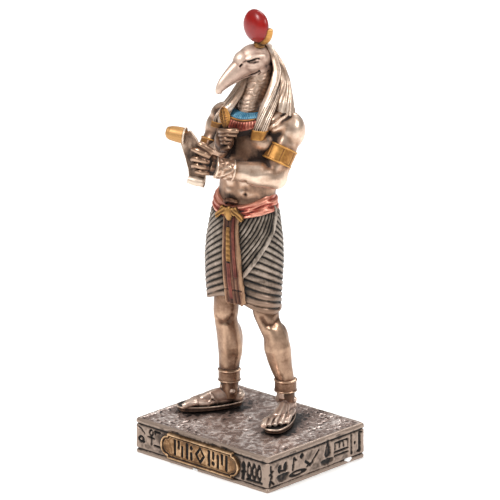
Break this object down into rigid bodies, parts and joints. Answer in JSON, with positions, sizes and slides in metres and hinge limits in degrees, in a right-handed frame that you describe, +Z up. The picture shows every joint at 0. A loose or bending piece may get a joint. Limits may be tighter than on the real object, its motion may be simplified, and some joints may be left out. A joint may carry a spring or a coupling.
{
  "type": "ibis-headed deity figurine",
  "caption": "Small standing figure of an ibis-headed man in a wig and pleated kilt, reading a scroll with a quill in hand, on a rectangular plinth.",
  "frame": {"origin": "centre of the plinth's underside", "axes": "+Z up; -Y out of the plinth's front face, which carries the nameplate; +X to the right seen from the front"},
  "size_m": [0.0344, 0.0283, 0.0876],
  "materials": {
    "cast_bronze_finish": "cold-cast bronze powder in resin, dark wash in the hollows, painted gold, red and blue in places",
    "dark_bronze_plinth": "cold-cast bronze powder in resin under a heavy dark wash, with a gold painted nameplate"
  },
  "bodies": {
    "root": {"figure": "cast_bronze_finish", "plinth": "dark_bronze_plinth"}
  },
  "joints": []
}
